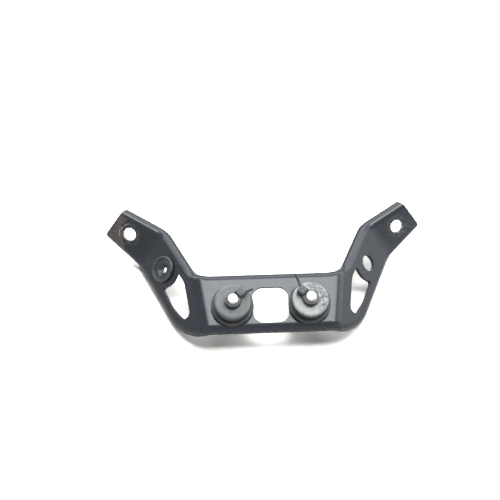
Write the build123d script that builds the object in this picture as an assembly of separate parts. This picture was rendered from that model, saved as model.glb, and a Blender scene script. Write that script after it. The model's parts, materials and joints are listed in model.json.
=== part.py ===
from build123d import *
import math
import os

# Fuel tank bracket, millimetres. The origin lies on the top face of the flat plate, midway
# between the two rubber mounts. +Z is the plate's outward normal, +X runs to the right wing
# and +Y runs to the plate edge that the two ears rise above.

# Steel sheet and its rolled edge
sheet_thickness = 1.8
edge_bend_radius = 4.0
edge_depth = 4.6

# Flat plate
plate_top_y = 18.5
plate_bottom_y = -14.0
window_width = 18.6
window_height = 19.7
window_center_y = 0.6
window_corner_radius = 5.5

# Fold between plate and wing
fold_x = 36.2
fold_splay = 8.1
fold_angle = 42.5
fold_radius = 9.0

# Wing outline, in wing coordinates: first across the fold, then along it
wing_upper_point = (15.9, 52.1)
wing_upper_lean = 22.9
ear_upper_lean = 39.0
wing_lower_point = (38.4, 40.5)
wing_lower_lean = 21.5
inner_corner_radius = 12.0
outer_corner_radius = 26.0
elbow_corner_radius = 30.0

# Ear, bent back up from the wing
ear_angle = 37.3
ear_radius = 10.0
ear_length = 23.9
ear_corner_radius = 3.4
ear_hole_along = 13.3
ear_hole_across = 13.3
ear_hole_diameter = 7.0

# Wing hole and lightening cut-out
wing_hole_point = (20.1, 30.6)
wing_hole_diameter = 9.0
cutout_foot = (7.9, -9.5)
cutout_belly = (19.3, 8.0)
cutout_shoulder = (7.9, 18.2)
cutout_outer_lean = 17.0
cutout_upper_lean = 25.0
cutout_hole_margin = 5.7
cutout_foot_radius = 3.4
cutout_belly_radius = 30.0
cutout_shoulder_radius = 10.0
cutout_tip_radius = 1.0

# Rubber mounts
mount_pitch = 40.0
mount_hole_diameter = 15.0
rubber_base_diameter = 22.0
rubber_base_height = 2.8
rubber_neck_diameter = 17.4
rubber_neck_height = 0.9
rubber_cap_diameter = 18.8
rubber_cap_height = 4.2
rubber_cap_rounding = 1.2
rubber_base_rounding = 0.5
rubber_foot_diameter = 18.4
rubber_foot_height = 4.8

# Steel collars and bolts
bolt_diameter = 6.0
bolt_length = 20.0
bolt_chamfer = 0.6
bolt_clearance = 0.15
collar_wall = 1.0
collar_flange_diameter = 17.0
collar_flange_thickness = 1.0
head_across_flats = 10.0
head_height = 4.2
head_flange_diameter = 13.6
head_flange_height = 1.4
head_crown_height = 0.8

# Cable ties round the bolt ends
tie_thickness = 1.1
tie_width = 2.5
tie_head_tangential = 4.4
tie_head_radial = 4.2
tie_head_height = 3.8
tie_head_gap = 0.4
tie_head_rounding = 0.35
tie_tail_thickness = 1.0
left_head_angle = 42.0
right_head_angle = 138.0
left_tail_angle = 17.0
right_tail_angle = 108.0
left_tail_length = 5.0
right_tail_length = 7.5
left_tail_rise = 4.0
right_tail_rise = 12.0

# Small grommet in the left wing
grommet_diameter = 14.2
grommet_flange = 1.7
grommet_bore = 3.2
grommet_dish_depth = 0.9
grommet_dish_diameter = 11.0
grommet_rounding = 0.6

# Spare lengths of the blocks that the sheet is cut from
reach = 90.0
overrun = 10.0
ear_run = 35.0
rim_run = 30.0
wing_join = 12.0
trim_overlap = 0.7
cutout_stop = 2.0

# How closely two heights, radii or directions have to agree
touching = 0.01

# Sizes that follow from the ones above
mount_x = mount_pitch / 2
rubber_top = rubber_base_height + rubber_neck_height + rubber_cap_height
rubber_bottom = -sheet_thickness - rubber_foot_height
collar_bore_radius = bolt_diameter / 2 + bolt_clearance
collar_radius = collar_bore_radius + collar_wall
bolt_seat = rubber_bottom - collar_flange_thickness
tie_inner_radius = bolt_diameter / 2
cutter_depth = 4 * sheet_thickness


def unit(angle):
    return Vector(math.cos(math.radians(angle)), math.sin(math.radians(angle)), 0)


across_fold = unit(-fold_splay)
along_fold = unit(90 - fold_splay)
up = Vector(0, 0, 1)
bend = math.radians(fold_angle)
wing_x = across_fold * math.cos(bend) - up * math.sin(bend)
wing_normal = up * math.cos(bend) + across_fold * math.sin(bend)
wing_plane = Plane(origin=(fold_x, 0, 0), x_dir=wing_x, z_dir=wing_normal)


def wing_point(e, s):
    return wing_plane.from_local_coords(Vector(e, s, 0))


def line_from(point, lean):
    """A line through a wing point, leaning the given angle away from the fold direction."""
    return Vector(point[0], point[1], 0), unit(90 - lean)


def crossing(first, second):
    """Where two lines of the wing plane meet."""
    (p, d), (q, e) = first, second
    span = d.X * e.Y - d.Y * e.X
    run = ((q.X - p.X) * e.Y - (q.Y - p.Y) * e.X) / span
    return p + d * run


def plate_edge_line(y):
    """A straight plate edge, seen along the wing normal."""
    start = wing_plane.to_local_coords(Vector(0, y, 0))
    end = wing_plane.to_local_coords(Vector(fold_x, y, 0))
    return Vector(start.X, start.Y, 0), Vector(end.X - start.X, end.Y - start.Y, 0).normalized()


top_line = plate_edge_line(plate_top_y)
bottom_line = plate_edge_line(plate_bottom_y)
wing_upper_line = line_from(wing_upper_point, wing_upper_lean)
wing_lower_line = line_from(wing_lower_point, wing_lower_lean)
ear_upper_line = line_from(wing_upper_point, ear_upper_lean)

# The ear folds about the line through the two elbow points
elbow_upper = wing_point(*wing_upper_point)
elbow_lower = wing_point(*wing_lower_point)
ear_fold = (elbow_lower - elbow_upper).normalized()
ear_outward = ear_fold.cross(wing_normal) * -1
ear_turn = math.radians(ear_angle)
ear_x = ear_outward * math.cos(ear_turn) + wing_normal * math.sin(ear_turn)
ear_normal = wing_normal * math.cos(ear_turn) - ear_outward * math.sin(ear_turn)
ear_plane = Plane(origin=elbow_upper, x_dir=ear_x, z_dir=ear_normal)


def beneath(depth):
    """Everything lying deeper than the given depth under the folded top surface."""
    plate_plane = Plane(origin=(fold_x, 0, 0), x_dir=across_fold, z_dir=along_fold * -1)
    inner = (-depth * math.tan(bend / 2), -depth)
    outer = (inner[0] + reach * math.cos(bend), inner[1] - reach * math.sin(bend))
    profile = make_face(
        Polyline((-reach, -depth), inner, outer, (outer[0], -reach), (-reach, -reach), close=True)
    )
    corner = profile.vertices().sort_by_distance(Vector(inner[0], inner[1], 0))[0]
    profile = fillet(corner, fold_radius - depth)
    plate_and_wing = extrude(plate_plane * profile, reach, both=True)

    elbow_plane = Plane(origin=elbow_upper, x_dir=ear_outward, z_dir=ear_fold)
    elbow = (depth * math.tan(ear_turn / 2), -depth)
    tip = (elbow[0] + reach * math.cos(ear_turn), elbow[1] + reach * math.sin(ear_turn))
    profile = make_face(
        Polyline((-wing_join, -depth), elbow, tip, (tip[0], -reach), (-wing_join, -reach), close=True)
    )
    corner = profile.vertices().sort_by_distance(Vector(elbow[0], elbow[1], 0))[0]
    profile = fillet(corner, ear_radius + depth)
    ear = extrude(elbow_plane * profile, reach, both=True)

    beyond = Rectangle(2 * reach, 4 * reach, align=(Align.MIN, Align.CENTER))
    beyond = extrude(elbow_plane * (Pos(-wing_join, 0) * beyond), reach, both=True)
    return plate_and_wing - beyond + ear


def wing_outline():
    """Outline of half the bracket, seen along the wing normal and running past both ends."""
    start = plate_edge_line(plate_top_y)[0] - top_line[1] * overrun
    finish = plate_edge_line(plate_bottom_y)[0] - bottom_line[1] * overrun
    inner_corner = crossing(top_line, wing_upper_line)
    outer_corner = crossing(bottom_line, wing_lower_line)
    elbow = Vector(wing_upper_point[0], wing_upper_point[1], 0)
    ear_end = elbow + ear_upper_line[1] * ear_run
    lower_end = Vector(wing_lower_point[0], wing_lower_point[1], 0) + wing_lower_line[1] * ear_run
    outline = make_face(
        Polyline(start, inner_corner, elbow, ear_end, lower_end, outer_corner, finish, close=True)
    )
    for point, radius in (
        (inner_corner, inner_corner_radius),
        (outer_corner, outer_corner_radius),
        (elbow, elbow_corner_radius),
    ):
        outline = fillet(outline.vertices().sort_by_distance(point)[0], radius)
    return outline


def long_rim(block):
    """The top edges that run along both long sides of a block."""
    walls = [f for f in block.faces() if abs(f.normal_at().dot(wing_normal)) < touching]
    tops = [f for f in block.faces() if f.normal_at().dot(wing_normal) > touching]
    top_edges = [e for f in tops for e in f.edges()]
    rim = [e for f in walls for e in f.edges() if e in top_edges]
    rim = [e for e in rim if e.center().X > 0]
    return [e for e in rim if (e.center() - elbow_upper).dot(ear_outward) < rim_run]


def rounded_block(depth):
    """Half the bracket as a thick block, sunk by a depth and drawn in by as much at the sides."""
    outline = wing_outline()
    if depth > 0:
        outline = offset(outline, -depth)
    block = extrude(wing_plane * outline, reach, both=True) & beneath(depth)
    return fillet(long_rim(block), edge_bend_radius - depth)


def onto_ear(point):
    """The spot on the ear's top face that covers a wing point along the wing normal."""
    foot = wing_point(point.X, point.Y)
    rise = (elbow_upper - foot).dot(ear_normal) / wing_normal.dot(ear_normal)
    return ear_plane.to_local_coords(foot + wing_normal * rise)


def ear_end_trim():
    """What is cut away at the ear's end, leaving two rounded corners."""
    sides = []
    for point, line in ((wing_upper_point, ear_upper_line), (wing_lower_point, wing_lower_line)):
        near = onto_ear(Vector(point[0], point[1], 0))
        far = onto_ear(Vector(point[0], point[1], 0) + line[1] * ear_run)
        share = (ear_length - near.X) / (far.X - near.X)
        sides.append((near, near + (far - near) * share))
    (upper_near, upper_end), (lower_near, lower_end) = sides
    kept = make_face(
        Polyline(
            (upper_near.X, upper_near.Y),
            (upper_end.X, upper_end.Y),
            (lower_end.X, lower_end.Y),
            (lower_near.X, lower_near.Y),
            close=True,
        )
    )
    corners = kept.vertices().sort_by(Axis.X)[-2:]
    kept = fillet(corners, ear_corner_radius)
    start = ear_length - ear_corner_radius - trim_overlap
    away = Pos(start, 0) * Rectangle(reach, reach, align=(Align.MIN, Align.CENTER))
    return extrude(ear_plane * (away - kept), ear_run, both=True)


def cutout_outline():
    """The tapered lightening hole, hollowed round the wing hole."""
    outer_line = line_from(cutout_belly, cutout_outer_lean)
    upper_line = line_from(cutout_shoulder, cutout_upper_lean)
    top = wing_hole_point[1] - cutout_stop
    outer_run = (top - cutout_belly[1]) / outer_line[1].Y
    upper_run = (top - cutout_shoulder[1]) / upper_line[1].Y
    outer_top = outer_line[0] + outer_line[1] * outer_run
    upper_top = upper_line[0] + upper_line[1] * upper_run
    outline = make_face(
        Polyline(cutout_foot, cutout_belly, outer_top, upper_top, cutout_shoulder, close=True)
    )
    for point, radius in (
        (cutout_foot, cutout_foot_radius),
        (cutout_belly, cutout_belly_radius),
        (cutout_shoulder, cutout_shoulder_radius),
    ):
        corner = outline.vertices().sort_by_distance(Vector(point[0], point[1], 0))[0]
        outline = fillet(corner, radius)
    web = Circle(wing_hole_diameter / 2 + cutout_hole_margin)
    outline = outline - Pos(wing_hole_point[0], wing_hole_point[1]) * web
    return fillet(outline.vertices().sort_by(Axis.Y)[-2:], cutout_tip_radius)


def wing_openings():
    """The cut-out and the round hole of the wing, and the hole of the ear."""
    hole = Pos(wing_hole_point[0], wing_hole_point[1]) * Circle(wing_hole_diameter / 2)
    cuts = extrude(wing_plane * (cutout_outline() + hole), cutter_depth, both=True)
    ear_hole = Pos(ear_hole_along, -ear_hole_across) * Circle(ear_hole_diameter / 2)
    return cuts + extrude(ear_plane * ear_hole, cutter_depth, both=True)


def bracket_plate():
    """The pressed sheet, made as its right half and mirrored."""
    half = rounded_block(0) - rounded_block(sheet_thickness) - beneath(edge_depth)
    left_side = Pos(-reach, 0, 0) * Box(2 * reach, 4 * reach, 4 * reach)
    half = half - left_side - ear_end_trim() - wing_openings()
    sheet = half + mirror(half, Plane.YZ)
    window = RectangleRounded(window_width, window_height, window_corner_radius)
    openings = Pos(0, window_center_y) * window
    for x in (-mount_x, mount_x):
        openings += Pos(x, 0) * Circle(mount_hole_diameter / 2)
    return sheet - extrude(openings, cutter_depth, both=True)


def turned(points):
    """A solid of revolution from radius and height pairs."""
    return revolve(Plane.XZ * make_face(Polyline(*points, close=True)), Axis.Z)


def outer_circles(body):
    """The circular edges of a damper that are wider than the plate's hole."""
    circles = body.edges().filter_by(GeomType.CIRCLE)
    return [e for e in circles if e.radius > mount_hole_diameter / 2 + touching]


def damper():
    """A rubber mount whose groove grips the hole in the plate."""
    base_top = rubber_base_height
    neck_top = base_top + rubber_neck_height
    body = turned(
        (
            (collar_radius, rubber_bottom),
            (rubber_foot_diameter / 2, rubber_bottom),
            (rubber_foot_diameter / 2, -sheet_thickness),
            (mount_hole_diameter / 2, -sheet_thickness),
            (mount_hole_diameter / 2, 0),
            (rubber_base_diameter / 2, 0),
            (rubber_base_diameter / 2, base_top),
            (rubber_neck_diameter / 2, base_top),
            (rubber_neck_diameter / 2, neck_top),
            (rubber_cap_diameter / 2, neck_top),
            (rubber_cap_diameter / 2, rubber_top),
            (collar_radius, rubber_top),
        )
    )
    ends = [e for e in outer_circles(body) if abs(e.center().Z - rubber_top) < touching]
    ends += [e for e in outer_circles(body) if abs(e.center().Z - rubber_bottom) < touching]
    body = fillet(ends, rubber_cap_rounding)
    base_edges = [e for e in outer_circles(body) if e.radius > rubber_base_diameter / 2 - touching]
    return fillet(base_edges, rubber_base_rounding)


def collar():
    """A flanged sleeve that keeps the bolt from crushing the rubber."""
    return turned(
        (
            (collar_bore_radius, bolt_seat),
            (collar_flange_diameter / 2, bolt_seat),
            (collar_flange_diameter / 2, rubber_bottom),
            (collar_radius, rubber_bottom),
            (collar_radius, rubber_top),
            (collar_bore_radius, rubber_top),
        )
    )


def bolt():
    """A hexagon bolt with a flange under its head, pushed up through the collar."""
    radius = bolt_diameter / 2
    tip = bolt_seat + bolt_length
    flange_foot = bolt_seat - head_flange_height
    head_foot = flange_foot - head_height
    turned_part = turned(
        (
            (0, flange_foot),
            (head_across_flats / 2, flange_foot),
            (head_flange_diameter / 2, bolt_seat - head_flange_height / 2),
            (head_flange_diameter / 2, bolt_seat),
            (radius, bolt_seat),
            (radius, tip - bolt_chamfer),
            (radius - bolt_chamfer, tip),
            (0, tip),
        )
    )
    hexagon = RegularPolygon(head_across_flats / 2, 6, major_radius=False)
    head = extrude(Pos(0, 0, head_foot) * hexagon, head_height + head_flange_height / 2)
    corner_reach = head_across_flats / math.sqrt(3)
    crown = turned(
        (
            (0, head_foot),
            (head_across_flats / 2, head_foot),
            (corner_reach + bolt_chamfer, head_foot + head_crown_height),
            (corner_reach + bolt_chamfer, bolt_seat),
            (0, bolt_seat),
        )
    )
    return turned_part + (head & crown)


def cable_tie(head_angle, tail_angle, tail_length, tail_rise):
    """A tie drawn tight round the bolt end, its tail cut off beyond the head."""
    outer_radius = tie_inner_radius + tie_thickness
    ring = Circle(outer_radius) - Circle(tie_inner_radius)
    loop = extrude(Pos(0, 0, rubber_top) * ring, tie_width)
    head_center = tie_inner_radius + tie_head_radial / 2 + tie_head_gap
    standing = (Align.CENTER, Align.CENTER, Align.MIN)
    head_box = Box(tie_head_radial, tie_head_tangential, tie_head_height, align=standing)
    head = Pos(head_center, 0, rubber_top) * fillet(head_box.edges(), tie_head_rounding)
    bore = extrude(Pos(0, 0, rubber_top) * Circle(tie_inner_radius), tie_head_height)
    head = Rot(0, 0, head_angle) * (head - bore)
    start = Rot(0, 0, head_angle) * Pos(head_center, 0, rubber_top + tie_width / 2)
    leading = (Align.MIN, Align.CENTER, Align.CENTER)
    strip = Box(tail_length + tie_head_radial / 2, tie_tail_thickness, tie_width, align=leading)
    tail = Pos(start.position) * Rot(0, 0, tail_angle) * Rot(0, -tail_rise, 0) * strip
    return loop + head + tail


def wing_grommet():
    """A small rubber grommet with a dished face, sitting in the left wing's hole."""
    back = -sheet_thickness - grommet_flange
    body = turned(
        (
            (grommet_bore / 2, back),
            (grommet_diameter / 2, back),
            (grommet_diameter / 2, -sheet_thickness),
            (wing_hole_diameter / 2, -sheet_thickness),
            (wing_hole_diameter / 2, 0),
            (grommet_diameter / 2, 0),
            (grommet_diameter / 2, grommet_flange),
            (grommet_dish_diameter / 2, grommet_flange),
            (grommet_bore / 2, grommet_flange - grommet_dish_depth),
        )
    )
    circles = body.edges().filter_by(GeomType.CIRCLE)
    rims = [e for e in circles if e.radius > grommet_diameter / 2 - touching]
    rims = [e for e in rims if abs(e.center().Z + sheet_thickness / 2) > sheet_thickness]
    body = fillet(rims, grommet_rounding)
    seated = wing_plane.location * Pos(wing_hole_point[0], wing_hole_point[1]) * body
    return mirror(seated, Plane.YZ)


os.makedirs("parts", exist_ok=True)
left_mount = Pos(-mount_x, 0)
right_mount = Pos(mount_x, 0)
left_tie = cable_tie(left_head_angle, left_tail_angle, left_tail_length, left_tail_rise)
right_tie = cable_tie(right_head_angle, right_tail_angle, right_tail_length, right_tail_rise)
pieces = {
    "bracket_plate": bracket_plate(),
    "damper_left": left_mount * damper(),
    "damper_right": right_mount * damper(),
    "collar_left": left_mount * collar(),
    "collar_right": right_mount * collar(),
    "bolt_left": left_mount * bolt(),
    "bolt_right": right_mount * bolt(),
    "cable_tie_left": left_mount * left_tie,
    "cable_tie_right": right_mount * right_tie,
    "wing_grommet": wing_grommet(),
}
for name, piece in pieces.items():
    export_step(piece, f"parts/{name}.step")
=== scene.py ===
import json
import math

import bmesh
import bpy
from mathutils import Matrix, Vector


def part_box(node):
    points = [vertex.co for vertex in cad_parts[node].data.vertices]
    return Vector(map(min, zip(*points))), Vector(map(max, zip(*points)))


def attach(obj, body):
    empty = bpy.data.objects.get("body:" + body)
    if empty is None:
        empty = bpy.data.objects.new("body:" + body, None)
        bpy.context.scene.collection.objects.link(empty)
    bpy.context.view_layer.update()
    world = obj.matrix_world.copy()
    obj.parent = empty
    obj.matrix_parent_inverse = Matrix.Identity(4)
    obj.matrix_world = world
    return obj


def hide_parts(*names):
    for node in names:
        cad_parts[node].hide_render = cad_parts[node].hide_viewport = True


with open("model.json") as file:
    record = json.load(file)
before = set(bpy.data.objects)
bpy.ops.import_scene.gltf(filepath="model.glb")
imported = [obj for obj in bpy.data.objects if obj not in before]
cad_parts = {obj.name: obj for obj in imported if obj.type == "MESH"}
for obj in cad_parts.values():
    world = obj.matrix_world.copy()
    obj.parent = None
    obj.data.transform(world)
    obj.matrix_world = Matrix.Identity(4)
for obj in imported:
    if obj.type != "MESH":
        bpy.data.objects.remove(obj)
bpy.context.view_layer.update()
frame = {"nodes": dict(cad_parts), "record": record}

MM = 0.001
UP = Vector((0, 0, 1))
SIDES = {"left": -1, "right": 1}
MOUNTS = {m["name"]: m for m in frame["record"]["mounts"]}


def mount(name):
    """Place and axis of one of the record's mounts."""
    found = MOUNTS[name]
    return Vector(found["pos_m"]), Vector(found["axis"]).normalized()


def heights(node):
    """Lowest and highest point of a CAD node, in millimetres above the plate's top face."""
    low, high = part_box(node)
    return low.z / MM, high.z / MM


# Camera: where it stands and how it is turned, in the bracket's own frame. The lens and the
# sensor's width are in millimetres.
CAMERA_PLACE = Vector((-44.5, -228.7, 575.9)) * MM
CAMERA_RIGHT = Vector((0.9979, -0.0517, 0.0378))
CAMERA_UP = Vector((0.0314, 0.9099, 0.4137))
CAMERA_BACK = Vector((-0.0558, -0.4116, 0.9096))
SENSOR_WIDTH = 36.0
LENS = 86.4
NEAREST_SEEN = 0.01

# Lamps: name, direction from the bracket, distance and size in metres, and radiance
LAMPS = (
    ("overhead", (0.09, 0.39, 0.915), 1.4, (0.90, 0.58), 8.6),
    ("right_fill", (0.70, 0.40, 0.58), 1.1, (0.5, 0.6), 2.2),
    ("right_wall", (0.93, 0.02, 0.28), 1.0, (1.8, 0.7), 1.1),
    ("back_window", (0.0, 0.91, 0.42), 0.9, (1.6, 0.56), 3.0),
    ("front_window", (0.0, -0.92, 0.36), 0.9, (1.2, 0.3), 0.5),
)
AMBIENT = 0.05

# Floor, in metres. The camera alone sees it in the paler colour, which pales its shadow.
# Between the two distances of the fade it turns plain white. The bracket touches it in front
# of the first Y below, and beyond the second.
FLOOR_COLOR = (0.93, 0.93, 0.925)
FLOOR_SEEN = (1.85, 1.84, 1.78)
FLOOR_FADE = (0.16, 0.40)
FLOOR_REACH = 1.6
FLOOR_CLEARANCE = 0.05 * MM
TOUCHES_BEFORE = 0.012
TOUCHES_BEYOND = 0.02

# Colours. A pair is the two tones that a surface wavers between.
PAINT = ((0.009, 0.012, 0.020), (0.014, 0.018, 0.028))
PAINT_SHEEN = (0.92, 0.97, 1.0, 1.0)
# Painted sheen: a paler tone on the paint's upright faces, standing in for the pale surround seen
# at a slant
UPRIGHT_PAINTED_SHEEN = (0.070, 0.071, 0.071)
DUST_SPECK = (0.15, 0.15, 0.145)
DUST_FILM = (0.10, 0.102, 0.10)
SCUFF = (0.10, 0.10, 0.105)
WASHER_MARK = (0.095, 0.098, 0.10)
WORN_RIM = (0.26, 0.26, 0.25)
BARE_STEEL = ((0.088, 0.074, 0.070), (0.135, 0.114, 0.106))
STEEL_STAIN = (0.045, 0.038, 0.038)
SCRATCH = (0.52, 0.50, 0.47)
RUBBER = ((0.050, 0.055, 0.058), (0.085, 0.092, 0.097))
RUBBER_LEDGE = (0.15, 0.157, 0.16)
RUBBER_CRACK = (0.07, 0.075, 0.078)
RUBBER_GLINT = (0.78, 0.79, 0.79)
CHALK = {"left": (0.27, 0.283, 0.29), "right": (0.66, 0.68, 0.685)}
CRAZING = {"left": 0, "right": 0.8}
GROMMET = ((0.022, 0.026, 0.031), (0.040, 0.046, 0.050))
GROMMET_RIM = (0.12, 0.135, 0.135)
# Painted shade along the grommet's sunken ring
GROMMET_GROOVE_SHADE = (0.07, 0.08, 0.085)
ZINC = ((0.50, 0.51, 0.52), (0.72, 0.73, 0.75))
ZINC_STAIN = (0.25, 0.24, 0.22)
# Painted shade on the zinc below the bolts' tips, collars included
ZINC_PAINTED_SHADE = (0.19, 0.20, 0.20)
NYLON = ((0.060, 0.068, 0.074), (0.105, 0.115, 0.122))
# Painted shade on the ties' upright sides
NYLON_PAINTED_SHADE = (0.022, 0.025, 0.028)

# The left ear's own directions: towards its free end, and across it towards its lower edge
LEFT_EAR_OUTWARD = Vector((-0.771, 0.6044, 0.2005))
LEFT_EAR_ACROSS = Vector((-0.5842, -0.546, -0.6005))

# The rubber mounts, in millimetres, each about its own axis
MOUNT_X = MOUNTS["tank_bolts"]["dims"]["spacing_x_mm"] / 2
SHEET = MOUNTS["ear_hole_left"]["dims"]["length_mm"]
FOOT_BOTTOM, CAP_TOP = heights("damper_left")
FOOT_RADIUS = 9.2
GROOVE_RADIUS = 7.46
BASE_RADIUS = 11.0
BASE_TOP = 2.8
BASE_ROUNDING = 0.6
NECK_RADIUS = 8.7
NECK_TOP = 3.7
NECK_FILLET = 0.3
CAP_RADIUS = 9.4
CAP_ROUNDING = 1.2
CAP_DISH = 0.14
COLLAR_RADIUS = 4.15
RIM_ROUNDING = 0.35
BORE_CHAMFER = 0.3
PLAY = 0.02

# The bolts, in millimetres, each about its own axis
BOLT_RADIUS = MOUNTS["tank_bolts"]["dims"]["r_mm"]
BOLT_END, BOLT_TIP = heights("bolt_left")
BOLT_SEAT = heights("collar_left")[0]
BOLT_CHAMFER = 1.0
CHAMFER_SLOPE = 0.9
FLANGE_RADIUS = 6.8
FLANGE_HEIGHT = 1.4
FLANGE_ROUNDING = 0.35
HEXAGON_FLAT = 5.0
THREAD_PITCH = 1.0
THREAD_DEPTH = 0.55
THREAD_START = -2.0
THREAD_RUN_IN = 1.5
RINGS_PER_TURN = 10

# The cable ties, in millimetres: the strap's loop, the locking head and the toothed tail
STRAP_WIDTH = 2.5
STRAP_THICKNESS = 1.1
HEAD_RADIAL = 4.2
HEAD_TANGENTIAL = 4.4
HEAD_TALL = 3.8
HEAD_GAP = 0.4
TOOTH_PITCH = 0.7

# Each tie's head, by its angle round the bolt, and its tail's heading, length and rise
TIES = {
    "left": {"head": 42.0, "heading": 17.0, "length": 5.0, "rise": 4.0},
    "right": {"head": 138.0, "heading": 108.0, "length": 7.5, "rise": 12.0},
}

# The grommet in the left wing, in millimetres
WING_HOLE = MOUNTS["wing_hole_right"]["dims"]["r_mm"]
GROMMET_BORE = MOUNTS["grommet_bore_left"]["dims"]["r_mm"]
GROMMET_RADIUS = 7.1
GROMMET_FLANGE = 1.7
GROMMET_LIFT = 1.35

# Points round each kind of turned piece
BOLT_POINTS = 72
STRAP_POINTS = 72
DAMPER_POINTS = 132
GROMMET_POINTS = 96


# Shader nodes


class Nodes:
    """Short calls for the shader nodes that are used most, on one node tree."""

    def __init__(self, tree):
        self.tree = tree

    def node(self, kind, values=None, **attributes):
        """A new node. Each value is a setting of an input, or a socket that is linked to it."""
        made = self.tree.nodes.new(kind)
        for key, value in attributes.items():
            setattr(made, key, value)
        for key, value in (values or {}).items():
            if isinstance(value, bpy.types.NodeSocket):
                self.tree.links.new(value, made.inputs[key])
            elif value is not None:
                made.inputs[key].default_value = value
        return made

    def math(self, operation, first, second=None, third=None):
        values = {0: first, 1: second, 2: third}
        return self.node("ShaderNodeMath", values, operation=operation).outputs[0]

    def product(self, first, *others):
        for factor in others:
            first = self.math("MULTIPLY", first, factor)
        return first

    def vector(self, operation, first, second=None, output=0):
        values = {0: first, 1: second}
        made = self.node("ShaderNodeVectorMath", values, operation=operation)
        return made.outputs[output]

    def step(self, value, start, end, low=0.0, high=1.0, kind="SMOOTHSTEP"):
        """Goes from low to high while the value goes from start to end."""
        values = {"Value": value, "From Min": start, "From Max": end, "To Min": low, "To Max": high}
        return self.node("ShaderNodeMapRange", values, interpolation_type=kind).outputs["Result"]

    def blend(self, share, first, second):
        """A mix of two colours, of which the share is that of the second."""
        made = self.node("ShaderNodeMix", {0: share}, data_type="RGBA")
        for key, value in (("A", first), ("B", second)):
            socket = next(s for s in made.inputs if s.name == key and s.type == "RGBA")
            if isinstance(value, bpy.types.NodeSocket):
                self.tree.links.new(value, socket)
            else:
                socket.default_value = (*value, 1.0)
        return next(s for s in made.outputs if s.type == "RGBA")

    def ray(self, kind):
        """1 for light rays of the given kind, and 0 for others."""
        return self.node("ShaderNodeLightPath").outputs[kind]

    def seen(self):
        """1 for what the camera sees, straight or by way of metal or glass, and 0 for others."""
        seen = self.ray("Is Camera Ray")
        for kind in ("Is Glossy Ray", "Is Transmission Ray"):
            seen = self.math("MAXIMUM", seen, self.ray(kind))
        return seen


class Finish(Nodes):
    """A procedural material. Sizes of its patterns are in millimetres."""

    def __init__(self, name, **settings):
        self.material = bpy.data.materials.new(name)
        self.material.use_nodes = True
        super().__init__(self.material.node_tree)
        self.bsdf = self.tree.nodes["Principled BSDF"]
        for key, value in settings.items():
            self.bsdf.inputs[key.replace("_", " ")].default_value = value
        self.place = self.node("ShaderNodeTexCoord").outputs["Object"]
        self.bump_chain = None

    def noise(self, size, detail=3.0, roughness=0.55, place=None, output="Fac"):
        values = {
            "Vector": place or self.place,
            "Scale": 1.0 / (size * MM),
            "Detail": detail,
            "Roughness": roughness,
        }
        return self.node("ShaderNodeTexNoise", values).outputs[output]

    def patches(self, size, between, levels=(0.0, 1.0), detail=3.0, roughness=0.55):
        """Soft patches of noise: one level below both limits, the other above them."""
        return self.step(self.noise(size, detail, roughness), *between, *levels)

    def wander(self, size, reach, detail=3.0, roughness=0.55):
        """A distance that strays by up to the reach, to make a border ragged."""
        noise = self.noise(size, detail, roughness)
        return self.math("MULTIPLY_ADD", noise, 2 * reach * MM, -reach * MM)

    def cells(self, size, kind="F1", place=None):
        values = {"Vector": place or self.place, "Scale": 1.0 / (size * MM)}
        return self.node("ShaderNodeTexVoronoi", values, feature=kind).outputs["Distance"]

    def cracks(self, size, warp_size, warp_reach, between, levels=(0.0, 1.0)):
        """A net of crooked cracks: the first level along them, the second away from them."""
        push = self.noise(warp_size, detail=2.0, roughness=0.5, output="Color")
        push = self.vector("SUBTRACT", push, (0.5, 0.5, 0.5))
        values = {0: push, 3: warp_reach * 2 * MM}
        push = self.node("ShaderNodeVectorMath", values, operation="SCALE").outputs[0]
        warped = self.vector("ADD", self.place, push)
        edges = self.cells(size, kind="DISTANCE_TO_EDGE", place=warped)
        return self.step(edges, *between, *levels)

    def fade(self, distance, start, end):
        """Goes from 0 to 1 between two distances."""
        return self.step(distance, start * MM, end * MM)

    def tint(self, color, mask, amount, other):
        """Covers a colour with another, by an amount where the mask is 1."""
        return self.blend(self.product(mask, amount), color, other)

    def along(self, origin, direction):
        """How far a point lies from the origin along a direction, in metres."""
        offset = self.vector("SUBTRACT", self.place, tuple(origin))
        return self.vector("DOT_PRODUCT", offset, tuple(direction), output="Value")

    def from_axis(self, origin, axis):
        """A point's distance from an axis, in metres."""
        offset = self.vector("SUBTRACT", self.place, tuple(origin))
        across = self.vector("CROSS_PRODUCT", offset, tuple(axis))
        return self.vector("LENGTH", across, output="Value")

    def upright(self, start, end):
        """0 to 1 as a surface turns from level to upright, by how far it faces up or down."""
        normal = self.node("ShaderNodeNewGeometry").outputs["Normal"]
        facing = self.math("ABSOLUTE", self.vector("DOT_PRODUCT", normal, UP, output="Value"))
        return self.step(facing, start, end)

    def bump(self, height, distance, strength=1.0):
        """Adds relief whose depth is the distance."""
        values = {"Height": height, "Distance": distance * MM, "Strength": strength}
        if self.bump_chain:
            values["Normal"] = self.bump_chain
        self.bump_chain = self.node("ShaderNodeBump", values).outputs["Normal"]
        self.tree.links.new(self.bump_chain, self.bsdf.inputs["Normal"])

    def drive(self, **sockets):
        for key, value in sockets.items():
            self.tree.links.new(value, self.bsdf.inputs[key.replace("_", " ")])


# Materials


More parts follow.
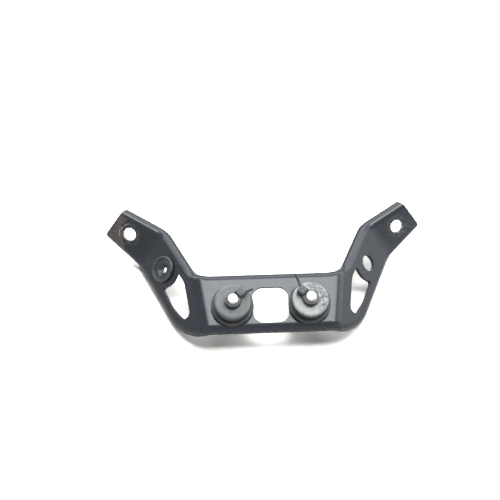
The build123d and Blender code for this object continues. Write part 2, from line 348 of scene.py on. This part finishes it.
def paint():
    """Black paint with a soft gloss and orange peel, worn off at the left ear's end."""
    f = Finish("black_paint", Specular_Tint=PAINT_SHEEN)
    gloss = f.patches(6, (0.3, 0.7), (0.20, 0.25), detail=5, roughness=0.65)
    # Upright faces get a painted sheen, a paler tone for the reflected surround, and a little more
    # roughness
    upright_sheen = f.patches(3.5, (0.34, 0.6), (0.45, 1.0), detail=5, roughness=0.7)
    upright_sheen = f.product(f.upright(0.62, 0.3), upright_sheen)
    bare = bare_end(f)
    rust = f.noise(1.9, detail=6, roughness=0.75)

    color = f.blend(f.patches(14, (0.35, 0.7), detail=4), *PAINT)
    color = f.tint(color, upright_sheen, 0.55, UPRIGHT_PAINTED_SHEEN)
    color = dusty(f, color)
    color = scuffed(f, color)
    for hole in ("ear_hole_left", "ear_hole_right"):
        color = washer_marked(f, color, hole)
    color = f.tint(color, bare, 0.95, stained_steel(f, rust))
    color = f.tint(color, scratches(f), 0.9, SCRATCH)

    rough = f.math("ADD", gloss, f.product(bare, 0.24))
    rough = f.math("ADD", rough, f.product(upright_sheen, 0.08))
    f.drive(Base_Color=color, Roughness=rough)
    f.bump(f.noise(2.2, detail=2), 0.003)
    f.bump(f.noise(0.4), 0.001, 0.6)
    f.bump(f.product(bare, f.math("SUBTRACT", rust, 1.0)), 0.05)
    return f.material


def dusty(f, color):
    """Dried specks gathered in patches, and a thin film."""
    specks = f.product(f.step(f.cells(1.3), 0.2, 0.1), f.patches(9, (0.5, 0.64), detail=2))
    color = f.tint(color, specks, 0.28, DUST_SPECK)
    film = f.patches(4.5, (0.48, 0.72), detail=6, roughness=0.72)
    return f.tint(color, film, 0.08, DUST_FILM)


def scuffed(f, color):
    """Long thin scuffs, from noise that is stretched along one direction."""
    values = {"Vector": f.place, "Scale": (0.16, 2.6, 1.0), "Rotation": (0.2, 0.1, 0.6)}
    stretched = f.node("ShaderNodeMapping", values).outputs["Vector"]
    scuffs = f.step(f.noise(5, detail=2, place=stretched), 0.685, 0.71)
    return f.tint(color, scuffs, 0.3, SCUFF)


def washer_marked(f, color, hole):
    """A ring rubbed by a washer round a hole, and the paint worn through at the hole's rim."""
    radius = f.from_axis(*mount(hole))
    ring = f.product(f.fade(radius, 7.0, 5.4), f.fade(radius, 3.2, 3.6))
    rubbed = f.product(ring, f.patches(2.6, (0.4, 0.66), detail=5, roughness=0.7))
    color = f.tint(color, rubbed, 0.7, WASHER_MARK)
    rim = f.product(f.fade(radius, 4.15, 3.8), f.patches(1.8, (0.44, 0.56)))
    return f.tint(color, rim, 0.8, WORN_RIM)


def bare_end(f):
    """1 where the left ear has lost its paint: beyond a kinked border, but for two corners."""
    border_at, kink_at, border_lean = 5.9, -1.4, -0.83
    center, _ = mount("ear_hole_left")
    out = f.along(center, LEFT_EAR_OUTWARD)
    across = f.along(center, LEFT_EAR_ACROSS)
    ragged = f.wander(2.6, 2.2, detail=6, roughness=0.7)
    below_kink = f.math("MAXIMUM", f.math("ADD", across, -kink_at * MM), 0.0)
    border = f.math("ADD", f.math("MULTIPLY", below_kink, border_lean), border_at * MM)
    beyond = f.math("ADD", f.math("SUBTRACT", out, border), ragged)
    upper_corner = f.math("ADD", across, ragged)
    lower_corner = f.math("ADD", f.math("ADD", out, across), ragged)
    return f.product(
        f.fade(beyond, -0.5, 0.7),
        f.fade(upper_corner, -6.6, -5.4),
        f.fade(lower_corner, 17.6, 16.4),
    )


def stained_steel(f, rust):
    """Bare steel, browned by the rust and stained dark in patches."""
    color = f.blend(f.step(rust, 0.35, 0.68), *BARE_STEEL)
    return f.tint(color, f.patches(4.5, (0.56, 0.7), detail=4), 0.55, STEEL_STAIN)


def scratches(f):
    """1 on bright scratches in an arc beside the left ear's hole."""
    arc_radius = 5.5
    center, axis = mount("ear_hole_left")
    strayed = f.math("ADD", f.from_axis(center, axis), f.wander(3.0, 1.1))
    off_line = f.math("ABSOLUTE", f.math("SUBTRACT", strayed, arc_radius * MM))
    outer_side = f.fade(f.along(center, LEFT_EAR_OUTWARD), 3.0, 4.2)
    return f.product(
        f.fade(off_line, 0.5, 0.15),
        outer_side,
        f.patches(1.2, (0.42, 0.58), detail=4),
    )


def rubber(side):
    """Weathered rubber of a mount: a chalky top, a paler ledge round its base and, on the right,
    crazing.
    """
    f = Finish(f"rubber_{side}", Specular_IOR_Level=0.3)
    center = seat(side).translation
    height = f.along(center, UP)
    upper = f.fade(height, CAP_TOP - 1.5, CAP_TOP - 0.35)
    ledge = f.product(f.fade(f.from_axis(center, UP), 8.6, 10.2), f.fade(height, 2.2, 2.7))
    mottle = f.patches(2.4, (0.3, 0.62), (0.72, 1.0), detail=6, roughness=0.7)

    color = f.blend(f.patches(5, (0.3, 0.7), detail=5, roughness=0.6), *RUBBER)
    color = f.blend(f.product(upper, mottle), color, CHALK[side])
    color = f.tint(color, ledge, 0.5, RUBBER_LEDGE)
    if CRAZING[side]:
        color = crazed(f, color, center, upper, CRAZING[side])
    f.drive(Base_Color=color, Roughness=f.patches(1.3, (0.3, 0.7), (0.52, 0.66), detail=4))
    f.bump(f.noise(0.5, detail=4, roughness=0.65), 0.02, 0.8)
    f.bump(f.noise(3.0, detail=2), 0.05, 0.7)
    return f.material


def crazed(f, color, center, upper, amount):
    """Two sizes of cracks, and pale glints, on the half of a mount's top away from its tie."""
    across = f.along(center, Vector((0.87, 0.5, 0)))
    half = f.fade(f.math("ADD", across, f.wander(4, 4)), -4, 5)
    coarse = f.cracks(1.9, 1.1, 0.5, (0.02, 0.13))
    fine = f.cracks(0.8, 0.7, 0.35, (0.0, 0.16), (0.45, 1.0))
    net = f.product(f.math("SUBTRACT", 1.0, f.product(coarse, fine)), upper, half)
    f.bump(net, -0.10)
    color = f.tint(color, net, amount, RUBBER_CRACK)
    glints = f.product(f.step(f.cells(1.0), 0.24, 0.1), half, upper)
    return f.tint(color, glints, 0.7, RUBBER_GLINT)


def grommet_rubber():
    """Black rubber of the wing grommet, paler on its rim, with painted shade along the sunken ring
    inside it.
    """
    shaded_groove_radius = 5.0
    f = Finish("grommet_rubber")
    radius = f.from_axis(*mount("grommet_bore_left"))
    rim = f.product(f.fade(radius, 6.0, 6.7), f.patches(2.5, (0.3, 0.5), detail=4))
    off_line = f.math("ABSOLUTE", f.math("SUBTRACT", radius, shaded_groove_radius * MM))

    color = f.blend(f.patches(3, (0.35, 0.7), detail=5, roughness=0.6), *GROMMET)
    color = f.tint(color, rim, 0.8, GROMMET_RIM)
    # A thin line of painted shade where the face sinks
    color = f.tint(color, f.fade(off_line, 0.3, 0.08), 0.35, GROMMET_GROOVE_SHADE)
    f.drive(Base_Color=color, Roughness=f.patches(1.3, (0.3, 0.7), (0.3, 0.44), detail=4))
    f.bump(f.noise(0.5, detail=4, roughness=0.65), 0.02, 0.8)
    return f.material


def zinc():
    """Zinc plate: bright and a little stained at the bolts' tips, and darkened everywhere below
    them by painted shade.
    """
    f = Finish("zinc_plate", Metallic=1.0)
    height = f.along((0, 0, 0), UP)
    shade_below_tip = f.fade(height, BOLT_TIP - 0.6, BOLT_TIP - 1.2)

    color = f.blend(f.patches(1.6, (0.35, 0.65), detail=5, roughness=0.65), *ZINC)
    stain = f.patches(3.0, (0.58, 0.72), detail=5, roughness=0.7)
    color = f.tint(color, stain, 0.5, ZINC_STAIN)
    # Painted shade: all of the zinc below the tips is darkened
    color = f.blend(shade_below_tip, color, ZINC_PAINTED_SHADE)
    f.drive(Base_Color=color, Roughness=f.patches(0.8, (0.3, 0.7), (0.24, 0.4), detail=4))
    f.bump(f.noise(0.25), 0.006)
    return f.material


def nylon():
    """Grey-black nylon with a fine moulded grain, and painted shade on its upright sides, so that
    it looks lighter on top.
    """
    f = Finish("black_nylon")
    color = f.blend(f.patches(2.0, (0.35, 0.65), detail=4), *NYLON)
    # Upright sides are darkened: painted shade
    color = f.tint(color, f.upright(0.75, 0.35), 0.8, NYLON_PAINTED_SHADE)
    f.drive(Base_Color=color, Roughness=f.patches(0.9, (0.3, 0.7), (0.36, 0.5)))
    f.bump(f.noise(0.3), 0.010)
    return f.material


# Meshes


def shift(x, y, z):
    return Matrix.Translation(Vector((x, y, z)) * MM)


def turned_by(degrees, axis="Z"):
    return Matrix.Rotation(math.radians(degrees), 4, axis)


def seat(side):
    """Where a rubber mount stands."""
    return shift(SIDES[side] * MOUNT_X, 0, 0)


def arc(center_r, center_z, radius, start, end, steps):
    """Radius and height pairs along an arc of a turned profile, angles in degrees."""
    angles = [math.radians(start + (end - start) * i / steps) for i in range(steps + 1)]
    return [(center_r + radius * math.cos(a), center_z + radius * math.sin(a)) for a in angles]


def around(place, radius, height, count):
    """A ring round an axis, in millimetres. Radius and height may follow the angle."""
    ring = []
    for j in range(count):
        angle = 2 * math.pi * j / count
        r = radius(angle) if callable(radius) else radius
        z = height(angle) if callable(height) else height
        ring.append(place @ (Vector((r * math.cos(angle), r * math.sin(angle), z)) * MM))
    return ring


def skin(rings, loop=False):
    """Points and faces of a surface over rings of points, joined end to end or capped."""
    count = len(rings[0])
    points = [p for ring in rings for p in ring]
    faces = []
    for i in range(len(rings) if loop else len(rings) - 1):
        a, b = i * count, (i + 1) % len(rings) * count
        for j in range(count):
            k = (j + 1) % count
            faces.append((a + j, a + k, b + k, b + j))
    if not loop:
        last = len(points) - count
        faces.append(tuple(reversed(range(count))))
        faces.append(tuple(last + j for j in range(count)))
    return points, faces


def shape(name, points, faces):
    mesh = bpy.data.meshes.new(name)
    mesh.from_pydata([tuple(p) for p in points], [], faces)
    return mesh


def settle(name, mesh, finish, sharp):
    """Makes a mesh a piece on the one body, smooth but for edges sharper than the angle."""
    work = bmesh.new()
    work.from_mesh(mesh)
    bmesh.ops.recalc_face_normals(work, faces=work.faces)
    work.to_mesh(mesh)
    work.free()
    mesh.polygons.foreach_set("use_smooth", [True] * len(mesh.polygons))
    mesh.set_sharp_from_angle(angle=math.radians(sharp))
    mesh.materials.append(finish)
    piece = bpy.data.objects.new(name, mesh)
    bpy.context.scene.collection.objects.link(piece)
    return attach(piece, "root")


def turned(name, place, profile, count, finish, sharp, loop):
    """A turned piece from the radius and height pairs of its profile."""
    rings = [around(place, r, z, count) for r, z in profile]
    mesh = shape(name, *skin(rings, loop))
    mesh.validate()
    return settle(name, mesh, finish, sharp)


# Bolts


def hexagon(angle):
    """Radius of the head's outline at an angle."""
    return HEXAGON_FLAT / math.cos((angle % (math.pi / 3)) - math.pi / 6)


def head_profile():
    """The crowned hexagon head, its flange and the plain shank, from the end up."""
    foot = BOLT_SEAT - FLANGE_HEIGHT
    crown_height, crown_slope = 0.25, math.tan(math.radians(30))
    dimple_radius, dimple_depth, fillet_height = HEXAGON_FLAT * 0.55, 0.35, 0.35

    def crown(angle):
        return BOLT_END + crown_height + (hexagon(angle) - HEXAGON_FLAT) * crown_slope

    def fillet(angle):
        return max(hexagon(angle), HEXAGON_FLAT * 1.08) + 0.15

    profile = [(dimple_radius, BOLT_END + dimple_depth), (HEXAGON_FLAT * 0.62, BOLT_END)]
    profile += [(HEXAGON_FLAT * 0.93, BOLT_END), (hexagon, crown)]
    profile += [(hexagon, foot - fillet_height), (fillet, foot - 0.1)]
    flange_r, flange_z = FLANGE_RADIUS - FLANGE_ROUNDING, BOLT_SEAT - 0.4
    profile += arc(flange_r, flange_z, FLANGE_ROUNDING, -70, 80, 5)
    profile += [(BOLT_RADIUS + FLANGE_ROUNDING, BOLT_SEAT)]
    profile += [(BOLT_RADIUS, BOLT_SEAT + FLANGE_ROUNDING), (BOLT_RADIUS, THREAD_START)]
    return profile


def thread_profile():
    """The thread, cut as a real helix: at each height its radius follows the angle."""
    flank_slope, crest_width = 1.25, 0.1
    length = BOLT_TIP - THREAD_START
    steps = round(length / THREAD_PITCH * RINGS_PER_TURN)
    profile = []
    for i in range(1, steps + 1):
        z = THREAD_START + length * i / steps
        run_in = min(1.0, (z - THREAD_START) / THREAD_RUN_IN)
        limit = BOLT_RADIUS - max(0.0, z - (BOLT_TIP - BOLT_CHAMFER)) * CHAMFER_SLOPE

        def thread(angle, z=z, run_in=run_in, limit=limit):
            turn = (z / THREAD_PITCH - angle / (2 * math.pi)) % 1.0
            groove = min(1.0, max(0.0, flank_slope * abs(2 * turn - 1) - crest_width))
            return min(limit, BOLT_RADIUS - THREAD_DEPTH * run_in * groove)

        profile.append((thread, z))
    tip = BOLT_RADIUS - BOLT_CHAMFER * CHAMFER_SLOPE
    return profile + [(tip * 0.9, BOLT_TIP), (tip * 0.45, BOLT_TIP - 0.05)]


def threaded_bolt(side, finish):
    """A flange bolt that stands up through its mount."""
    profile = head_profile() + thread_profile()
    name = f"threaded_bolt_{side}"
    piece = turned(name, seat(side), profile, BOLT_POINTS, finish, sharp=32, loop=False)
    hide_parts(f"bolt_{side}")


# Rubber mounts


def parting_line(radius, height, depth):
    """A shallow groove that the mould leaves round a turned part."""
    inside = radius - depth
    steps = ((radius, -0.2), (inside, -0.1), (inside, 0.1), (radius, 0.2))
    return [(r, height + z) for r, z in steps]


def damper_profile():
    """Foot, grip groove, base, neck and dished cap, from the bore's lower end to its upper."""
    inner, rim, neck = COLLAR_RADIUS, RIM_ROUNDING, NECK_RADIUS + NECK_FILLET
    sheet_top, sheet_foot = PLAY, -SHEET - PLAY
    profile = [(inner, FOOT_BOTTOM + BORE_CHAMFER), (inner + BORE_CHAMFER, FOOT_BOTTOM)]
    foot_r, foot_z = FOOT_RADIUS - CAP_ROUNDING, FOOT_BOTTOM + CAP_ROUNDING
    profile += arc(foot_r, foot_z, CAP_ROUNDING, -90, 0, 7)
    profile += parting_line(FOOT_RADIUS, -4.1, 0.08)
    profile += [(FOOT_RADIUS, -3.0), (FOOT_RADIUS - 0.3, sheet_foot)]
    profile += [(GROOVE_RADIUS, sheet_foot), (GROOVE_RADIUS, sheet_top)]
    profile += [(BASE_RADIUS - 0.4, sheet_top)]
    profile += arc(BASE_RADIUS - rim, sheet_top + rim, rim, -90, 0, 4)
    profile += parting_line(BASE_RADIUS, 1.4, 0.1)
    base_r, base_z = BASE_RADIUS - BASE_ROUNDING, BASE_TOP - BASE_ROUNDING
    profile += arc(base_r, base_z, BASE_ROUNDING, 0, 90, 6)
    profile += [(NECK_RADIUS + 0.9, BASE_TOP), (NECK_RADIUS + 0.45, BASE_TOP - 0.1)]
    profile += arc(neck, BASE_TOP + NECK_FILLET, NECK_FILLET, 220, 180, 3)
    profile += arc(neck, NECK_TOP - 0.25, NECK_FILLET, 180, 100, 4)
    profile += arc(CAP_RADIUS - rim, NECK_TOP + rim, rim, -80, 0, 4)
    profile += [(CAP_RADIUS, 5.2)]
    cap_r, cap_z = CAP_RADIUS - CAP_ROUNDING, CAP_TOP - CAP_ROUNDING
    profile += arc(cap_r, cap_z, CAP_ROUNDING, 0, 90, 10)
    dish = ((7.5, 0.03), (6.6, CAP_DISH), (5.8, CAP_DISH * 1.1), (5.2, CAP_DISH * 0.7), (4.9, 0.02))
    profile += [(r, CAP_TOP - depth) for r, depth in dish]
    profile += [(inner + BORE_CHAMFER, CAP_TOP), (inner, CAP_TOP - BORE_CHAMFER)]
    return profile


def ribbed_damper(side, finish):
    """A rubber mount. Rubber is never quite round, so its radius wavers a little inwards."""
    round_within, wavers_fully = 5, 11
    three_lobes, seven_lobes = 0.05, 0.03

    def wavering(r, z):
        share = max(0.0, (r - round_within) / (wavers_fully - round_within))

        def radius(angle):
            swell = three_lobes * math.sin(3 * angle + z)
            swell += seven_lobes * math.sin(7 * angle + 2 * z)
            return r + min(0.0, swell) * share

        return radius

    profile = [(wavering(r, z), z) for r, z in damper_profile()]
    name = f"ribbed_damper_{side}"
    piece = turned(name, seat(side), profile, DAMPER_POINTS, finish, sharp=50, loop=True)
    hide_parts(f"damper_{side}")


# Cable ties


def strap_profile():
    """The strap's outline, with soft corners and a shallow channel along its outside."""
    inner, outer = BOLT_RADIUS, BOLT_RADIUS + STRAP_THICKNESS
    lift, soft, margin, depth = 0.01, 0.22, 0.75, 0.1
    low, high = CAP_TOP + lift, CAP_TOP + STRAP_WIDTH
    channel = outer - depth
    profile = [(inner, low + soft), (inner + soft, low), (outer - soft, low), (outer, low + soft)]
    profile += [(outer, low + margin), (channel, low + margin + depth)]
    profile += [(channel, high - margin - depth), (outer, high - margin)]
    profile += [(outer, high - soft), (outer - soft, high)]
    profile += [(inner + soft, high), (inner, high - soft)]
    return profile


def block(work, place, size, rounding):
    """Adds a rounded block to a mesh, its size in millimetres."""
    made = bmesh.ops.create_cube(work, size=1.0)["verts"]
    bmesh.ops.scale(work, vec=Vector(size) * MM, verts=made)
    edges = list({e for v in made for e in v.link_edges})
    bmesh.ops.transform(work, matrix=place, verts=made)
    width = rounding * MM
    bmesh.ops.bevel(work, geom=edges, offset=width, segments=3, profile=0.5, affect="EDGES")


def locking_head(work, place):
    """The head's housing, its pawl, a rib beside the pawl, and the mouth that faces outwards."""
    middle, top = CAP_TOP + HEAD_TALL / 2, CAP_TOP + HEAD_TALL
    housing = (HEAD_RADIAL, HEAD_TANGENTIAL, HEAD_TALL - 0.02)
    pawl, rib, mouth = (2.6, 1.3, 0.4), (3.1, 1.0, 0.35), (0.5, 2.6, 2.6)
    block(work, place @ shift(0, 0, middle), housing, rounding=0.38)
    block(work, place @ shift(-0.2, -0.9, top - 0.1), pawl, rounding=0.12)
    block(work, place @ shift(0.15, 1.1, top - 0.12), rib, rounding=0.12)
    block(work, place @ shift(HEAD_RADIAL / 2 - 0.1, 0, middle), mouth, rounding=0.14)


def tail_rings(place, reach):
    """Rings along the tail: toothed below, flat above, and cut off at a slant."""
    half, top = STRAP_WIDTH / 2, 0.48
    tooth_tip, tooth_root, first_tooth, plain_end, cut_slant = 0.5, 0.38, 0.3, 0.6, 0.25
    stations = []
    x = first_tooth
    while x < reach - plain_end:
        stations += [(x, tooth_tip), (x + TOOTH_PITCH * 0.75, tooth_root)]
        x += TOOTH_PITCH
    stations += [(reach - 0.45, 0.46), (reach - 0.1, 0.42), (reach - 0.02, 0.3)]
    rings = []
    for x, thick in stations:
        slant = cut_slant if x > reach - 0.5 else 0.0
        upper = [(top, half - 0.2), (0.3, half - 0.02)]
        lower = [(-thick + 0.15, half - 0.02), (-thick, half - 0.35)]
        side = upper + lower
        outline = [(top, -half + 0.2)] + side + [(y, -z) for y, z in reversed(side[1:])]
        ring = [Vector((x - slant * (1 + z / half) / 2, y, z)) * MM for y, z in outline]
        rings.append([place @ p for p in ring])
    return rings


def cable_tie(side, finish):
    """A tie drawn tight round a bolt: strap, locking head and the tail that sticks out."""
    tie = TIES[side]
    middle = BOLT_RADIUS + HEAD_RADIAL / 2 + HEAD_GAP
    toward_head = seat(side) @ turned_by(tie["head"])
    tail_start = toward_head @ shift(middle, 0, CAP_TOP + STRAP_WIDTH / 2)
    heading = turned_by(tie["heading"]) @ turned_by(-tie["rise"], "Y")
    tail = Matrix.Translation(tail_start.translation) @ heading

    rings = [around(seat(side), r, z, STRAP_POINTS) for r, z in strap_profile()]
    mesh = shape(f"tie_{side}", *skin(rings, loop=True))
    work = bmesh.new()
    work.from_mesh(mesh)
    locking_head(work, toward_head @ shift(middle, 0, 0))
    points, faces = skin(tail_rings(tail, tie["length"] + HEAD_RADIAL / 2))
    made = [work.verts.new(p) for p in points]
    for face in faces:
        work.faces.new([made[i] for i in face])
    work.to_mesh(mesh)
    work.free()
    piece = settle(f"toothed_tie_{side}", mesh, finish, sharp=30)
    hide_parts(f"cable_tie_{side}")


# Grommet


def grommet_profile():
    """Back flange, grip groove, raised rim, sunken ring, domed middle and a funnelled bore."""
    back, outer = -SHEET - GROMMET_FLANGE, GROMMET_RADIUS
    grip = WING_HOLE - 0.03
    profile = [(GROMMET_BORE, -1.0), (GROMMET_BORE + 0.9, back + 0.5), (GROMMET_BORE + 1.4, back)]
    profile += arc(outer - 0.45, back + 0.45, 0.45, -90, 0, 5)
    profile += [(outer, -SHEET - 0.25), (outer - 0.2, -SHEET - PLAY), (grip, -SHEET - PLAY)]
    profile += [(grip, PLAY), (outer - 0.2, PLAY), (outer, 0.2)]
    profile += arc(outer - 0.4, 1.2, 0.4, 0, 90, 5)
    profile += [(6.2, 1.6), (5.95, 1.5), (5.7, 1.0), (5.4, 0.82), (5.0, 0.84), (4.7, 1.02)]
    profile += [(4.4, 1.1), (4.0, 1.05), (3.6, 0.9), (3.2, 0.6), (2.8, 0.25), (2.2, -0.3)]
    return profile + [(GROMMET_BORE, -0.8)]


def ringed_grommet(finish):
    """The small grommet in the left wing, whose bore one can see through."""
    center, axis = mount("grommet_bore_left")
    top = Matrix.Translation(center + axis * GROMMET_LIFT * MM)
    place = top @ axis.to_track_quat("Z", "Y").to_matrix().to_4x4()
    profile = grommet_profile()
    piece = turned("ringed_grommet", place, profile, GROMMET_POINTS, finish, sharp=40, loop=True)
    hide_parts("wing_grommet")


def dress(node, finish):
    """Gives a carried-over CAD node its finish."""
    solid = frame["nodes"][node]
    solid.data.materials.clear()
    solid.data.materials.append(finish)


# Floor, light and camera


def stand_plane():
    """Height at the origin and fall towards +Y of the table that the bracket leans on.

    The fall is found by halving, until the front of the bracket and its ears both touch.
    """
    points = [v.co for node in frame["nodes"].values() for v in node.data.vertices]
    front = [p for p in points if p.y < TOUCHES_BEFORE]
    back = [p for p in points if p.y > TOUCHES_BEYOND]
    low, high = 0.0, 1.0
    for _ in range(40):
        fall = (low + high) / 2
        front_height = min(p.z + fall * p.y for p in front)
        back_height = min(p.z + fall * p.y for p in back)
        if back_height < front_height:
            low = fall
        else:
            high = fall
    return front_height, fall


def floor_material():
    """Pale and matt, plain white far away. From below it lets the camera through."""
    material = bpy.data.materials.new("pale_floor")
    material.use_nodes = True
    material.node_tree.nodes.clear()
    nodes = Nodes(material.node_tree)
    to_camera = nodes.ray("Is Camera Ray")
    color = nodes.blend(to_camera, FLOOR_COLOR, FLOOR_SEEN)
    matt = nodes.node("ShaderNodeBsdfDiffuse", {"Color": color}).outputs[0]
    white = nodes.node("ShaderNodeEmission").outputs[0]
    place = nodes.node("ShaderNodeTexCoord").outputs["Object"]
    away = nodes.vector("LENGTH", place, output="Value")
    far = nodes.product(nodes.seen(), nodes.step(away, *FLOOR_FADE, kind="LINEAR"))
    pale = nodes.node("ShaderNodeMixShader", {0: far, 1: matt, 2: white}).outputs[0]
    from_below = nodes.node("ShaderNodeNewGeometry").outputs["Backfacing"]
    let_through = nodes.product(to_camera, from_below)
    clear = nodes.node("ShaderNodeBsdfTransparent").outputs[0]
    final = nodes.node("ShaderNodeMixShader", {0: let_through, 1: pale, 2: clear}).outputs[0]
    nodes.node("ShaderNodeOutputMaterial", {"Surface": final})
    return material


def floor():
    """A table that the bracket leans on."""
    height, fall = stand_plane()
    signs = ((-1, -1), (1, -1), (1, 1), (-1, 1))
    corners = [(x * FLOOR_REACH, y * FLOOR_REACH) for x, y in signs]
    points = [(x, y, height - FLOOR_CLEARANCE - fall * y) for x, y in corners]
    mesh = shape("floor", points, [(0, 1, 2, 3)])
    mesh.materials.append(floor_material())
    table = bpy.data.objects.new("floor", mesh)
    bpy.context.scene.collection.objects.link(table)


def daylight():
    """An even white surround. What the camera and mirrors see of it is plain white."""
    world = bpy.data.worlds.new("surround")
    bpy.context.scene.world = world
    world.use_nodes = True
    nodes = Nodes(world.node_tree)
    level = nodes.step(nodes.seen(), 0.0, 1.0, AMBIENT, 1.0, kind="LINEAR")
    shade = nodes.tree.nodes["Background"]
    shade.inputs["Color"].default_value = (1, 1, 1, 1)
    nodes.tree.links.new(level, shade.inputs["Strength"])


def softbox(name, direction, distance, size, radiance):
    """A rectangular lamp of the given radiance, facing the bracket."""
    data = bpy.data.lights.new(name, "AREA")
    data.shape = "RECTANGLE"
    data.size, data.size_y = size
    data.energy = radiance * math.pi * size[0] * size[1]
    lamp = bpy.data.objects.new(name, data)
    lamp.location = Vector(direction).normalized() * distance
    lamp.rotation_mode = "QUATERNION"
    lamp.rotation_quaternion = (-lamp.location).to_track_quat("-Z", "Y")
    bpy.context.scene.collection.objects.link(lamp)


def camera():
    data = bpy.data.cameras.new("photo_camera")
    data.sensor_width = SENSOR_WIDTH
    data.lens = LENS
    data.clip_start = NEAREST_SEEN
    view = bpy.data.objects.new("photo_camera", data)
    axes = Matrix((CAMERA_RIGHT, CAMERA_UP, CAMERA_BACK)).transposed()
    view.matrix_world = Matrix.Translation(CAMERA_PLACE) @ axes.to_4x4()
    bpy.context.scene.collection.objects.link(view)
    bpy.context.scene.camera = view


# The scene

bpy.context.scene.view_settings.view_transform = "Standard"

zinc_steel = zinc()
tie_nylon = nylon()
dress("bracket_plate", paint())
ringed_grommet(grommet_rubber())
for side in SIDES:
    ribbed_damper(side, rubber(side))
    threaded_bolt(side, zinc_steel)
    cable_tie(side, tie_nylon)
    dress(f"collar_{side}", zinc_steel)

floor()
daylight()
for lamp in LAMPS:
    softbox(*lamp)
camera()
